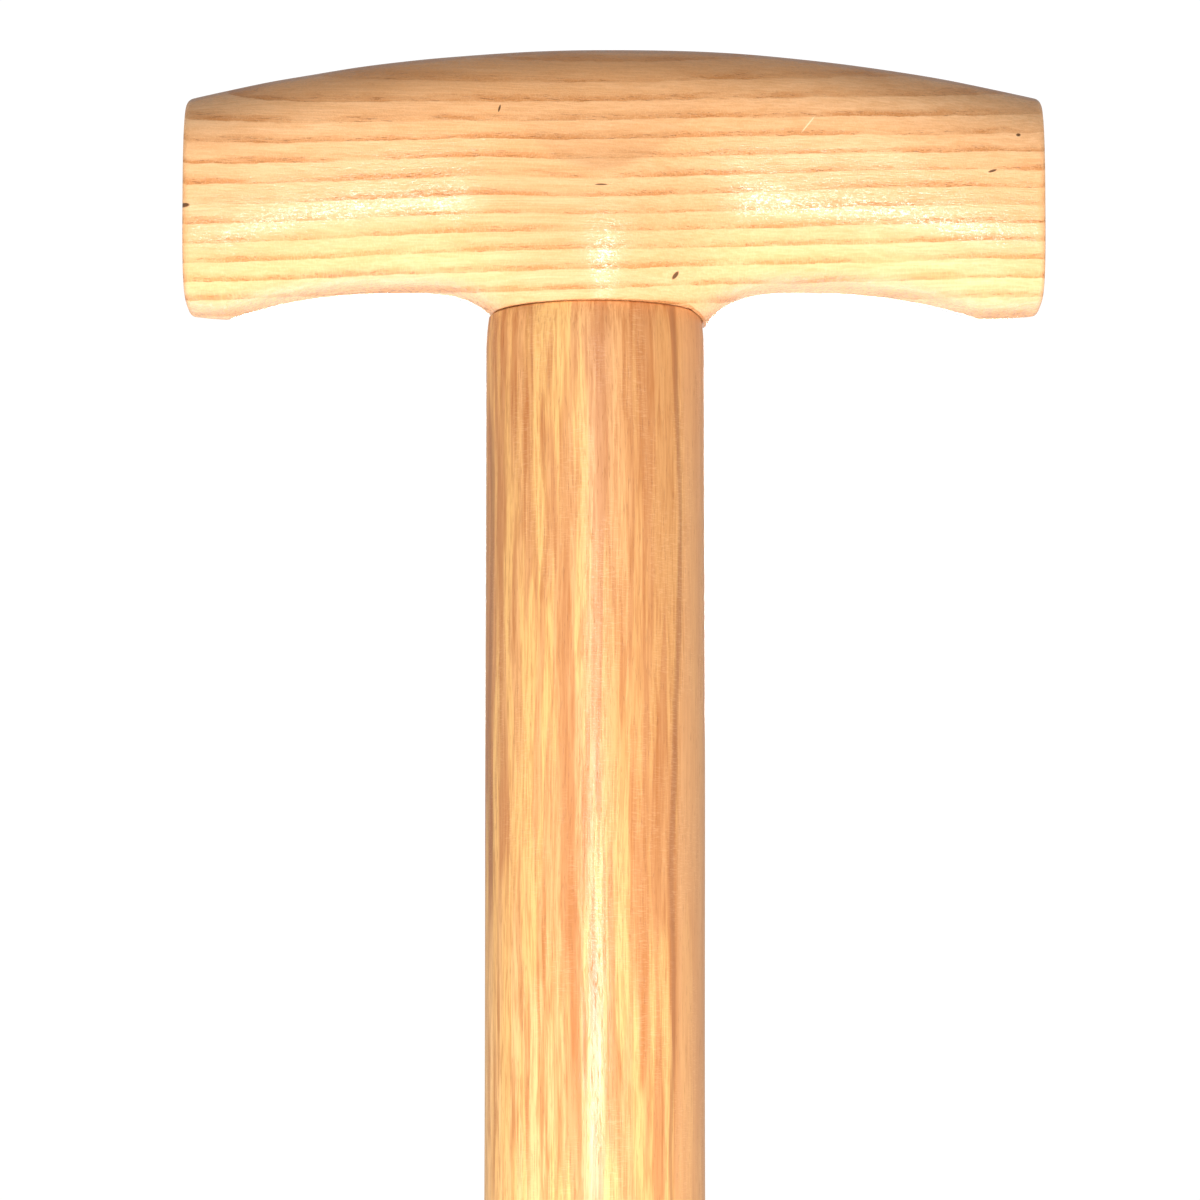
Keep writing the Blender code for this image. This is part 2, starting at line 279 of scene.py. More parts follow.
def grip_mesh():
    """The cross-grip: sections across X with rounded ends, its boss faced and its mortise bored."""
    rounding_steps = 9
    middle_steps = 270
    sides = 176
    turns = np.linspace(0.0, pi / 2.0, rounding_steps)
    runs = END_ROUNDING * (1.0 - np.cos(turns))
    insets = END_ROUNDING * (1.0 - np.sin(turns))
    middle = np.linspace(GRIP_LEFT_X + END_ROUNDING, GRIP_RIGHT_X - END_ROUNDING,
                         middle_steps)[1:-1]
    stations = np.concatenate([GRIP_LEFT_X + runs, middle, GRIP_RIGHT_X - runs[::-1]])
    inset = np.concatenate([insets, np.zeros(len(middle)), insets[::-1]])
    turn = np.linspace(0.0, tau, sides, endpoint=False)[None, :]
    x = stations[:, None]
    middle_height = (crown_height(x) + underside_height(x)) / 2.0
    radius = surface_run(x, 0.0, middle_height, np.cos(turn), np.sin(turn)) - inset[:, None]
    y = radius * np.cos(turn)
    z = SEAT_Z + middle_height + radius * np.sin(turn)
    radius = radius + hand_finish(x, y, z) - FINISH_ALLOWANCE
    y = radius * np.cos(turn)
    z = SEAT_Z + middle_height + radius * np.sin(turn)
    rings = [[(station, float(a), float(b)) for a, b in zip(row_y, row_z)]
             for station, row_y, row_z in zip(stations, y, z)]
    blank = skin_mesh("t_grip_fine", rings)
    return cut_mesh(blank, [mortise_mesh(), facing_mesh(), pin_hole_mesh()])


def mortise_mesh():
    """The blind round mortise, and the room for the shaft's own diameter below it."""
    ceiling = TENON_TOP_Z + 0.001
    return skin_mesh("mortise", turned_rings([
        (0.0, ceiling),
        (TENON_RADIUS + PLAY, ceiling),
        (TENON_RADIUS + PLAY, SEAT_Z),
        (SHAFT_RADIUS - SHAFT_EASE + MOUTH_PLAY, SEAT_Z),
        (SHAFT_RADIUS + MOUTH_PLAY, SEAT_Z - SHAFT_EASE_LENGTH),
        (SHAFT_RADIUS + MOUTH_PLAY, SEAT_Z - FACING_DEPTH),
        (0.0, SEAT_Z - FACING_DEPTH),
    ], MORTISE_SIDES))


def facing_mesh():
    """What the boss is faced off with: level at the seat, then sloping down at its right side."""
    block = bmesh.new()
    bmesh.ops.create_cube(block, size=1.0)
    for corner in block.verts:
        below = corner.co.z < 0.0
        right = FACING_LEVEL_X + (FACING_SLOPE * FACING_DEPTH if below else 0.0)
        corner.co.x = right if corner.co.x > 0.0 else -FACING_REACH
        corner.co.y *= 2.0 * FACING_REACH
        corner.co.z = SEAT_Z - (FACING_DEPTH if below else 0.0)
    mesh = bpy.data.meshes.new("facing")
    block.to_mesh(mesh)
    block.free()
    return mesh


def lay_along_y(mesh, height):
    """Turns a spun mesh so that its own Z is +Y, at a height above the tip of the tool."""
    mesh.transform(Matrix.Translation((0.0, 0.0, height)) @ Matrix.Rotation(-pi / 2.0, 4, "X"))
    return mesh


def pin_hole_mesh():
    """The hole for the pin, open at the back of the grip."""
    neck = PIN_BOX[1][1] - PIN_HEAD_LENGTH
    floor = PIN_BOX[0][1] - PLAY
    return lay_along_y(skin_mesh("pin_hole", turned_rings([
        (0.0, FACING_REACH),
        (PIN_HEAD_RADIUS + PLAY, FACING_REACH),
        (PIN_HEAD_RADIUS + PLAY, neck),
        (PIN_RADIUS + PLAY, neck - PIN_NECK),
        (PIN_RADIUS + PLAY, floor),
        (0.0, floor),
    ], HOLE_SIDES)), PIN_Z)


def rivet_hole_mesh():
    """The cross bore for the rivet, from front to back."""
    bore = RIVET_RADIUS + PLAY
    return lay_along_y(skin_mesh("rivet_hole", turned_rings([
        (0.0, FACING_REACH), (bore, FACING_REACH), (bore, -FACING_REACH), (0.0, -FACING_REACH),
    ], HOLE_SIDES)), RIVET_Z)


# ---------------------------------------------------------------- shaft

def shoulder_gap(turn):
    """The joint under the grip is tight in front and opens a little to each side."""
    return 0.00004 + 0.00016 * (0.5 + 0.5 * np.sin(2.0 * turn + 0.9)) ** 2


def cone_radius(z):
    """Outside of the steel cone: straight from socket to nose, with a slight swell."""
    share = (z - NOSE_RADIUS) / (SOCKET_TAPER_Z - NOSE_RADIUS)
    straight = NOSE_RADIUS + (SOCKET_RADIUS - NOSE_RADIUS) * share
    return straight + CONE_SWELL * sin(pi * share) * (1.0 + share) / 1.5


def shaft_mesh():
    """The shaft: blind tenon, eased shoulder, long round, and spigot."""
    sides = 160
    turn = np.linspace(0.0, tau, sides, endpoint=False)
    gap = shoulder_gap(turn)
    rings = [[(0.0, 0.0, TENON_TOP_Z)]]
    tenon_break = 0.001
    edge_break = 0.0004
    spigot_play = 0.0010

    def ring(radius, z, drop=0.0):
        """Adds a ring; below the tenon it is a little out of round."""
        wobble = 0.00004 * np.sin(3.0 * turn + 25.0 * z) + 0.00003 * np.sin(2.0 * turn - 60.0 * z)
        along = radius + (wobble if radius > TENON_RADIUS else 0.0)
        rings.append(list(zip((along * np.cos(turn)).tolist(), (along * np.sin(turn)).tolist(),
                              (z - drop + 0.0 * turn).tolist())))

    for share in np.linspace(0.1, 1.0, 6):
        ring((TENON_RADIUS - tenon_break) * share, TENON_TOP_Z)
    for z in np.linspace(TENON_TOP_Z - tenon_break, SEAT_Z + 0.001, 12):
        ring(TENON_RADIUS, z)
    ring(TENON_RADIUS, SEAT_Z, gap)
    straight = SHAFT_RADIUS - WOBBLE_ALLOWANCE
    upper = SHAFT_RADIUS - SHAFT_EASE
    for share in np.linspace(0.0, 1.0, 6):
        lean = share * pi / 2.0
        ring(upper - edge_break * (1.0 - sin(lean)), SEAT_Z - edge_break * (1.0 - cos(lean)), gap)
    for share in np.linspace(0.06, 1.0, 14):
        ring(straight - (straight - upper) * (1.0 - share) ** 2,
             SEAT_Z - edge_break - SHAFT_EASE_LENGTH * share, gap * (1.0 - share))
    mouth = SOCKET_MOUTH_Z + 0.0002
    for z in np.linspace(SEAT_Z - edge_break - SHAFT_EASE_LENGTH, mouth, 110)[1:]:
        ring(straight, z)
    rings += turned_rings([(SPIGOT_RADIUS, mouth)], sides)
    for z in np.linspace(SOCKET_TAPER_Z, SHAFT_END_Z, 12):
        rings += turned_rings([(cone_radius(z) - SOCKET_WALL - spigot_play, float(z))], sides)
    rings.append([(0.0, 0.0, float(SHAFT_END_Z))])
    return cut_mesh(skin_mesh("shaft_fine", rings), [pin_hole_mesh(), rivet_hole_mesh()])


# ---------------------------------------------------------------- point, rivet and pin

def point_mesh():
    """The steel point: a rolled socket mouth, a swelling cone and a blunt nose."""
    sides = 192
    lip = SOCKET_WALL / 2.0
    inner = SPIGOT_RADIUS + 0.0002
    floor_z = SHAFT_END_Z - 0.0003
    nose_stock = 0.0007
    outline = [(0.0, floor_z)]
    for z in np.linspace(floor_z, SOCKET_TAPER_Z, 12):
        thickening = nose_stock * (SOCKET_TAPER_Z - z) / SOCKET_TAPER_Z
        outline.append((cone_radius(z) - SOCKET_WALL - thickening, float(z)))
    outline.append((inner, SOCKET_MOUTH_Z - lip))
    lip_middle = (inner + SOCKET_RADIUS) / 2.0
    lip_half = (SOCKET_RADIUS - inner) / 2.0
    for step in range(1, 13):
        turn = pi - step / 12 * pi
        outline.append((lip_middle + lip_half * cos(turn), SOCKET_MOUTH_Z - lip + lip * sin(turn)))
    for z in np.linspace(SOCKET_MOUTH_Z - 0.0015, SOCKET_TAPER_Z, 14):
        outline.append((SOCKET_RADIUS, float(z)))
    for z in np.linspace(SOCKET_TAPER_Z, NOSE_RADIUS, 90)[1:]:
        outline.append((cone_radius(z), float(z)))
    for step in range(1, 11):
        turn = step / 10 * pi / 2.0
        side = NOSE_RADIUS - NOSE_FLAT_RADIUS
        outline.append((NOSE_FLAT_RADIUS + side * cos(turn), NOSE_RADIUS * (1.0 - sin(turn))))
    outline.append((0.0, 0.0))
    blank = skin_mesh("steel_point_fine", turned_rings(outline, sides))
    return cut_mesh(blank, [rivet_hole_mesh()])


def rivet_mesh():
    """The cross rivet: two domed heads hammered down onto the round socket."""
    sides = 64
    reach = RIVET_BOX[1][1]
    hammering = 0.00005
    lift = 0.00004
    under_edge = 0.0001

    def ring(radius, depth=None):
        """Points of the hammered dome at a depth, or without one, just off the socket's wall."""
        points = []
        for side in range(sides):
            turn = tau * side / sides
            x = radius * cos(turn)
            z = radius * sin(turn)
            facet = hammering * sin(5.0 * turn + 900.0 * radius) * (radius / RIVET_HEAD_RADIUS)
            wall = (SOCKET_RADIUS ** 2 - x * x) ** 0.5 + lift
            points.append((x, wall if depth is None else depth - facet, z))
        return points

    front = [[(0.0, reach, 0.0)]]
    for share in np.linspace(0.08, 1.0, 14):
        lean = share * pi / 2.0
        height = RIVET_HEAD_HEIGHT * cos(lean)
        front.append(ring(RIVET_HEAD_RADIUS * sin(lean), reach - RIVET_HEAD_HEIGHT + height))
    front.append(ring(RIVET_HEAD_RADIUS - under_edge))
    front.append(ring(RIVET_RADIUS))
    back = [[(x, -y, z) for x, y, z in points] for points in reversed(front)]
    mesh = skin_mesh("socket_rivet_fine", front + back)
    mesh.transform(Matrix.Translation((0.0, 0.0, RIVET_Z)))
    return mesh


def pin_mesh():
    """The steel pin that locks the tenon: a small flat head sunk at the back, and a blunt tip."""
    head = PIN_BOX[1][1]
    tip = PIN_BOX[0][1]
    outline = [(0.0, head)]
    edge = 0.00025
    for step in range(6):
        turn = step / 5 * pi / 2.0
        outline.append((PIN_HEAD_RADIUS - edge * (1.0 - sin(turn)),
                        head - edge * (1.0 - cos(turn))))
    outline += [
        (PIN_HEAD_RADIUS, head - PIN_HEAD_LENGTH),
        (PIN_RADIUS, head - PIN_HEAD_LENGTH - PIN_NECK),
        (PIN_RADIUS, tip + PIN_TIP_LENGTH),
        (PIN_RADIUS / 2.0, tip),
        (0.0, tip),
    ]
    return lay_along_y(skin_mesh("grip_pin_fine", turned_rings(outline, HOLE_SIDES)), PIN_Z)


# ---------------------------------------------------------------- materials

# Growth rings of the grip: the pith runs below and behind it, nearly along X.
PITH_Y = 0.0295
PITH_Z = SEAT_Z - 0.0751
PITH_LEAN_Y = -0.125
PITH_LEAN_Z = -0.043
GRIP_RING_WIDTH = 0.002648
GRIP_FIRST_RING = 0.00244
PITH_DEPTH = 0.11            # from the pith to the middle of the front, for arcs round it
LOW_RING_FLATNESS = 0.3

# Small marks on the front of the grip: x, height above the seat, half length, half width, slant.
GRIP_FLECKS = (
    (-0.0151, 0.0307, 0.0007, 0.00018, 1.3),
    (0.0127, 0.0040, 0.0009, 0.00035, 0.9),
    (-0.0648, 0.0153, 0.0009, 0.00040, 0.0),
    (0.0628, 0.0207, 0.0008, 0.00022, 0.3),
    (0.0670, 0.0267, 0.0004, 0.00030, 0.0),
    (0.0010, 0.0180, 0.0011, 0.00014, 0.0),
)
GRIP_SCRATCH = (0.0337, 0.0281, 0.0019, 0.00013, 0.90)


class Shader:
    """Adds nodes to one material, so that each line of a look reads as a formula."""

    def __init__(self, name):
        self.material = bpy.data.materials.new(name)
        self.material.use_nodes = True
        self.tree = self.material.node_tree
        self.principled = self.tree.nodes["Principled BSDF"]

    def put(self, socket, value):
        if isinstance(value, bpy.types.NodeSocket):
            self.tree.links.new(value, socket)
        elif value is not None:
            socket.default_value = value

    def set(self, **values):
        for name, value in values.items():
            self.put(self.principled.inputs[name.replace("_", " ")], value)

    def math(self, operation, first, second=None, third=None):
        node = self.tree.nodes.new("ShaderNodeMath")
        node.operation = operation
        for socket, value in zip(node.inputs, (first, second, third)):
            self.put(socket, value)
        return node.outputs[0]

    def combine(self, x, y, z):
        node = self.tree.nodes.new("ShaderNodeCombineXYZ")
        for socket, value in zip(node.inputs, (x, y, z)):
            self.put(socket, value)
        return node.outputs[0]

    def place(self):
        """X, Y and Z of the point, in metres."""
        coordinates = self.tree.nodes.new("ShaderNodeTexCoord")
        split = self.tree.nodes.new("ShaderNodeSeparateXYZ")
        self.put(split.inputs[0], coordinates.outputs["Object"])
        return split.outputs[0], split.outputs[1], split.outputs[2]

    def noise(self, x, y, z, detail=2.0, roughness=0.5):
        node = self.tree.nodes.new("ShaderNodeTexNoise")
        node.inputs["Scale"].default_value = 1.0
        node.inputs["Detail"].default_value = detail
        node.inputs["Roughness"].default_value = roughness
        self.put(node.inputs["Vector"], self.combine(x, y, z))
        return node.outputs[0]

    def remap(self, value, low, high, new_low=0.0, new_high=1.0):
        """A smooth step from new_low at low to new_high at high."""
        node = self.tree.nodes.new("ShaderNodeMapRange")
        node.interpolation_type = "SMOOTHSTEP"
        for socket, number in zip(node.inputs, (value, low, high, new_low, new_high)):
            self.put(socket, number)
        return node.outputs[0]

    def ramp(self, value, stops):
        """A value ramp from (position, value) pairs."""
        node = self.tree.nodes.new("ShaderNodeValToRGB")
        elements = node.color_ramp.elements
        while len(elements) < len(stops):
            elements.new(0.5)
        for element, (position, level) in zip(elements, stops):
            element.position = position
            element.color = (level, level, level, 1.0)
        self.put(node.inputs[0], value)
        return node.outputs[0]

    def mix(self, factor, first, second):
        """The first colour where the factor is 0, the second where it is 1."""
        node = self.tree.nodes.new("ShaderNodeMix")
        node.data_type = "RGBA"
        self.put(node.inputs[0], factor)
        for socket, value in zip((node.inputs[6], node.inputs[7]), (first, second)):
            self.put(socket, (*value, 1.0) if isinstance(value, tuple) else value)
        return node.outputs[2]

    def bump(self, height, distance, strength):
        node = self.tree.nodes.new("ShaderNodeBump")
        node.inputs["Strength"].default_value = strength
        node.inputs["Distance"].default_value = distance
        self.put(node.inputs["Height"], height)
        return node.outputs[0]


def srgb(red, green, blue):
    """A linear colour from the usual 0 to 255 values."""
    def linear(value):
        value /= 255.0
        return value / 12.92 if value <= 0.04045 else ((value + 0.055) / 1.055) ** 2.4
    return linear(red), linear(green), linear(blue)


def hypotenuse(wood, first, second):
    """The long side of a right triangle, from the other two."""
    return wood.math("SQRT", wood.math("ADD", wood.math("MULTIPLY", first, first),
                                       wood.math("MULTIPLY", second, second)))


def scaled_noise(wood, place, scales, detail=2.0, roughness=0.5):
    """Noise with its own scale, in features a metre, along each of three directions."""
    x, y, z = (wood.math("MULTIPLY", value, scale) for value, scale in zip(place, scales))
    return wood.noise(x, y, z, detail, roughness)


def band_of(wood, value, middle, half_width, soft):
    """1 within half_width of the middle, fading to 0 over soft."""
    away = wood.math("ABSOLUTE", wood.math("SUBTRACT", value, middle))
    return wood.remap(away, half_width, half_width + soft, 1.0, 0.0)


def mark(wood, x, z, front, spot):
    """A small elongated mark on the front of the grip: place, half length, half width, slant."""
    spot_x, spot_z, length, width, slant = spot
    off_x = wood.math("SUBTRACT", x, spot_x)
    off_z = wood.math("SUBTRACT", z, SEAT_Z + spot_z)
    along = wood.math("ADD", wood.math("MULTIPLY", off_x, cos(slant) / length),
                      wood.math("MULTIPLY", off_z, sin(slant) / length))
    across = wood.math("ADD", wood.math("MULTIPLY", off_x, -sin(slant) / width),
                       wood.math("MULTIPLY", off_z, cos(slant) / width))
    inside = wood.remap(hypotenuse(wood, along, across), 0.6, 1.1, 1.0, 0.0)
    return wood.math("MULTIPLY", inside, front)


def strongest(wood, masks):
    """The largest of several masks."""
    result = masks[0]
    for mask in masks[1:]:
        result = wood.math("MAXIMUM", result, mask)
    return result


def grip_rings(wood, x, y, z):
    """Distance from the pith, arc round it, and the share of the ring grown at a point.

    The lower half of the bar is nearly square, so the rings are read closer to its face there.
    """
    low = wood.remap(z, SEAT_Z + 0.004, SEAT_Z + 0.026, LOW_RING_FLATNESS, 1.0)
    face = MIDDLE_DEPTH / 2.0
    near_face = wood.math("MULTIPLY_ADD", wood.math("ADD", y, face), low, -face)
    off_y = wood.math("SUBTRACT", near_face, wood.math("MULTIPLY_ADD", x, PITH_LEAN_Y, PITH_Y))
    off_z = wood.math("SUBTRACT", z, wood.math("MULTIPLY_ADD", x, PITH_LEAN_Z, PITH_Z))
    radius = hypotenuse(wood, off_y, off_z)
    around = wood.math("MULTIPLY", wood.math("ARCTAN2", off_y, off_z), PITH_DEPTH)
    wave = scaled_noise(wood, (x, radius, around), (26.0, 60.0, 40.0), 2.0, 0.45)
    ragged = scaled_noise(wood, (x, radius, around), (380.0, 1500.0, 900.0), 3.0, 0.6)
    bent = wood.math("MULTIPLY_ADD", wood.math("SUBTRACT", wave, 0.5), 0.0014, radius)
    bent = wood.math("MULTIPLY_ADD", wood.math("SUBTRACT", ragged, 0.5), 0.0005, bent)
    count = wood.math("DIVIDE", wood.math("SUBTRACT", bent, GRIP_FIRST_RING), GRIP_RING_WIDTH)
    return bent, around, wood.math("FRACT", count)


def grip_wood():
    """Pale lacquered ash with its rings running along the grip."""
    wood = Shader("grip_ash")
    x, y, z = wood.place()
    bent, around, growth = grip_rings(wood, x, y, z)
    grain = (x, bent, around)
    early = wood.ramp(growth, [(0.0, 0.80), (0.03, 1.0), (0.14, 0.92), (0.27, 0.64), (0.40, 0.34),
                               (0.62, 0.12), (0.93, 0.0), (1.0, 0.10)])
    patch = scaled_noise(wood, grain, (60.0, 420.0, 150.0), 3.0, 0.6)
    early = wood.math("MULTIPLY", early, wood.remap(patch, 0.32, 0.66, 0.30, 1.20))
    streak = wood.remap(scaled_noise(wood, grain, (70.0, 3400.0, 2200.0), 4.0, 0.62), 0.36, 0.66)
    pores = scaled_noise(wood, grain, (420.0, 5200.0, 4200.0), 2.0, 0.6)
    pores = wood.math("MULTIPLY", wood.remap(pores, 0.56, 0.68), wood.remap(early, 0.15, 0.8))
    broad = wood.remap(scaled_noise(wood, grain, (14.0, 130.0, 50.0), 2.0, 0.5), 0.32, 0.68)
    ray = scaled_noise(wood, grain, (4200.0, 900.0, 5200.0), 1.0, 0.5)
    blotch = wood.remap(scaled_noise(wood, grain, (120.0, 800.0, 400.0), 3.0, 0.6), 0.45, 0.7)
    front = wood.remap(y, -0.006, -0.004, 1.0, 0.0)
    flecks = strongest(wood, [mark(wood, x, z, front, spot) for spot in GRIP_FLECKS])
    scratch = mark(wood, x, z, front, GRIP_SCRATCH)
    colour = wood.mix(broad, srgb(240, 184, 131), srgb(246, 196, 146))
    colour = wood.mix(wood.math("MULTIPLY", blotch, 0.42), colour, srgb(226, 166, 110))
    colour = wood.mix(wood.math("MULTIPLY", streak, 0.42), colour, srgb(216, 150, 90))
    colour = wood.mix(wood.math("MULTIPLY", early, 0.74), colour, srgb(196, 126, 66))
    colour = wood.mix(wood.math("MULTIPLY", pores, 0.50), colour, srgb(140, 84, 40))
    colour = wood.mix(wood.remap(ray, 0.45, 0.75, 0.0, 0.20), colour, srgb(252, 212, 162))
    # Painted shade: the upper part of the grip is darker and browner towards its top, where less
    # light falls.
    painted_top_shade = wood.remap(z, SEAT_Z + 0.029, SEAT_Z + 0.041, 0.0, 0.45)
    colour = wood.mix(painted_top_shade, colour, srgb(208, 140, 80))
    # Painted shade: a greyish strip along the top edge of the crown, where the surface turns away
    # from the light.
    colour = wood.mix(painted_crown_edge_shade(wood, x, z), colour, srgb(192, 140, 108))
    colour = wood.mix(wood.math("MULTIPLY", flecks, 0.95), colour, srgb(92, 58, 30))
    colour = wood.mix(wood.math("MULTIPLY", scratch, 0.6), colour, srgb(255, 232, 190))
    height = wood.math("MULTIPLY_ADD", streak, -0.35, wood.math("MULTIPLY", early, -0.35))
    height = wood.math("MULTIPLY_ADD", pores, -0.9, height)
    height = wood.math("MULTIPLY_ADD", ray, 0.45, height)
    height = wood.math("MULTIPLY_ADD", flecks, -1.5, height)
    rough = wood.math("MULTIPLY_ADD", pores, 0.2, wood.remap(early, 0.0, 1.0, 0.38, 0.5))
    normal = wood.bump(height, 0.00005, 0.6)
    glitter = scaled_noise(wood, grain, (1500.0, 2600.0, 2600.0), 3.0, 0.7)
    glitter = wood.remap(glitter, 0.42, 0.62, 0.10, 0.95)
    wood.set(Base_Color=colour, Roughness=rough, Normal=normal, Coat_Weight=glitter,
             Coat_Roughness=0.15, Coat_Normal=normal, Specular_IOR_Level=0.18)
    return wood.material


def painted_crown_edge_shade(wood, x, z):
    """Painted shade: a greyish strip along the top of the crown, where the surface turns away from
    the light, with a ragged lower edge.
    """
    run = wood.math("SUBTRACT", x, GRIP_MIDDLE_X)
    drop = wood.math("DIVIDE", wood.math("MULTIPLY", run, run), 2.0 * CROWN_ARC_RADIUS)
    below = wood.math("SUBTRACT", wood.math("SUBTRACT", SEAT_Z + CROWN_HEIGHT, drop), z)
    edge = scaled_noise(wood, (x, z, z), (60.0, 0.0, 0.0), 3.0, 0.6)
    below = wood.math("MULTIPLY_ADD", wood.math("SUBTRACT", edge, 0.5), 0.0012, below)
    return wood.remap(below, 0.0014, 0.0020, 0.62, 0.0)


def shaft_wood():
    """Warmer ash, nearly flat to the rings, with tapering streaks down the shaft."""
    wood = Shader("shaft_ash")
    x, y, z = wood.place()
    wave = wood.math("SUBTRACT", scaled_noise(wood, (x, y, z), (26.0, 26.0, 13.0), 2.0, 0.5), 0.5)
    grain = (wood.math("MULTIPLY_ADD", wave, 0.0022, x), y, z)
    bands = scaled_noise(wood, grain, (300.0, 160.0, 9.0), 3.0, 0.55)
    flames = scaled_noise(wood, grain, (420.0, 260.0, 21.0), 2.0, 0.5)
    streak = wood.remap(scaled_noise(wood, grain, (880.0, 620.0, 30.0), 4.0, 0.6), 0.47, 0.68)
    dash = wood.remap(scaled_noise(wood, grain, (1700.0, 1300.0, 95.0), 3.0, 0.6), 0.52, 0.66)
    fine = wood.remap(scaled_noise(wood, grain, (3200.0, 2600.0, 110.0), 3.0, 0.7), 0.42, 0.64)
    pores = wood.remap(scaled_noise(wood, grain, (5200.0, 4200.0, 380.0), 2.0, 0.6), 0.60, 0.70)
    hatch = wood.remap(scaled_noise(wood, grain, (850.0, 850.0, 6200.0), 2.0, 0.6), 0.48, 0.70)
    hatched = wood.remap(scaled_noise(wood, grain, (190.0, 190.0, 45.0), 2.0, 0.5), 0.44, 0.62)
    yellow = wood.math("MULTIPLY", wood.remap(flames, 0.47, 0.57), shaft_yellow(wood, x, z))
    colour = wood.mix(wood.remap(bands, 0.43, 0.57), srgb(209, 156, 103), srgb(187, 130, 82))
    # Painted light: a paler tone on the lower left of the shaft.
    colour = wood.mix(painted_light_left(wood, wave, x, z), colour, srgb(230, 185, 126))
    colour = wood.mix(wood.math("MULTIPLY", streak, 0.80), colour, srgb(172, 108, 58))
    colour = wood.mix(yellow, colour, srgb(220, 172, 108))
    colour = wood.mix(wood.math("MULTIPLY", dash, 0.42), colour, srgb(166, 102, 52))
    colour = wood.mix(wood.math("MULTIPLY", fine, 0.46), colour, srgb(168, 108, 60))
    colour = wood.mix(sap_strip(wood, wave, x), colour, srgb(198, 146, 100))
    colour = wood.mix(edge_lines(wood, wave, x, z), colour, srgb(142, 90, 58))
    colour = wood.mix(wood.math("MULTIPLY", pores, 0.3), colour, srgb(126, 76, 40))
    hatch = wood.math("MULTIPLY", hatch, hatched)
    colour = wood.mix(wood.math("MULTIPLY", hatch, 0.18), colour, srgb(236, 194, 148))
    height = wood.math("MULTIPLY_ADD", streak, -0.2, wood.math("MULTIPLY", fine, -0.2))
    height = wood.math("MULTIPLY_ADD", pores, -0.8, height)
    height = wood.math("MULTIPLY_ADD", hatch, 0.3, height)
    rough = wood.math("MULTIPLY_ADD", pores, 0.2, wood.remap(bands, 0.3, 0.7, 0.36, 0.44))
    normal = wood.bump(height, 0.00006, 0.5)
    wood.set(Base_Color=colour, Roughness=rough, Normal=normal, Coat_Weight=0.16,
             Coat_Roughness=0.11, Coat_Normal=normal, Specular_IOR_Level=0.3)
    return wood.material


def sap_strip(wood, wave, x):
    """A strip of sapwood along the right side."""
    return wood.remap(wood.math("MULTIPLY_ADD", wave, 0.010, x), 0.0128, 0.0140, 0.0, 0.65)


def painted_light_left(wood, wave, x, z):
    """Painted light: the left of the shaft is lighter, from the middle of its length down."""
    left = wood.remap(wood.math("MULTIPLY_ADD", wave, 0.014, x), -0.0125, -0.0020, 0.90, 0.0)
    low = wood.remap(z, SEAT_Z - 0.112, SEAT_Z - 0.082, 1.0, 0.0)
    return wood.math("MULTIPLY", left, low)


def edge_lines(wood, wave, x, z):
    """Two thin dark lines where the sapwood begins; the left one fades out towards both ends."""
    right = band_of(wood, wood.math("MULTIPLY_ADD", wave, 0.010, x), 0.0126, 0.0001, 0.0005)
    left = band_of(wood, wood.math("MULTIPLY_ADD", wave, 0.004, x), -0.0164, 0.0002, 0.0004)
    shown = band_of(wood, z, SEAT_Z - 0.058, 0.030, 0.016)
    return wood.math("MULTIPLY", strongest(wood, [right, wood.math("MULTIPLY", left, shown)]), 0.6)


def shaft_yellow(wood, x, z):
    """Where the yellow flames are strong: left of the middle, and more towards the lower end."""
    left = wood.remap(x, -0.004, 0.004, 1.0, 0.30)
    lower = wood.remap(z, SEAT_Z - 0.120, SEAT_Z - 0.030, 0.45, 0.0)
    return wood.math("MINIMUM", wood.math("ADD", left, lower), 1.0)


def steel(name, rub, tarnish=0.0):
    """Satin steel with fine rings from the lathe, long scratches from use, and some tarnish."""
    metal = Shader(name)
    x, y, z = metal.place()
    turn = metal.math("ARCTAN2", y, x)
    rings = metal.noise(metal.math("MULTIPLY", z, 5200.0), metal.math("MULTIPLY", turn, 1.1), 0.0,
                        3.0, 0.65)
    cloud = metal.noise(metal.math("MULTIPLY", x, 70.0), metal.math("MULTIPLY", y, 70.0),
                        metal.math("MULTIPLY", z, 40.0), 3.0, 0.55)
    scratch = metal.noise(metal.math("MULTIPLY", z, 26.0), metal.math("MULTIPLY", turn, 75.0), 4.0,
                          2.0, 0.7)
    scratch = metal.math("MULTIPLY", metal.remap(scratch, 0.62, 0.7), rub)
    colour = metal.mix(metal.remap(cloud, 0.3, 0.7), srgb(206, 207, 210), srgb(222, 222, 222))
    colour = metal.mix(metal.math("MULTIPLY", scratch, 0.35), colour, srgb(150, 150, 152))
    colour = metal.mix(tarnish, colour, srgb(112, 108, 102))
    dull = 0.2 * tarnish
    rough = metal.math("ADD", metal.remap(cloud, 0.3, 0.7, 0.24 + dull, 0.34 + dull),
                       metal.math("MULTIPLY", rings, 0.08))
    rough = metal.math("ADD", rough, metal.math("MULTIPLY", scratch, 0.15))
    height = metal.math("SUBTRACT", rings, metal.math("MULTIPLY", scratch, 0.6))
    normal = metal.bump(height, 0.00003, 0.35)
    metal.set(Base_Color=colour, Metallic=1.0, Roughness=rough, Normal=normal)
    return metal.material


# ---------------------------------------------------------------- stage

FLOOR_GLOW = 0.36            # stands in for the light of a whole room on the floor


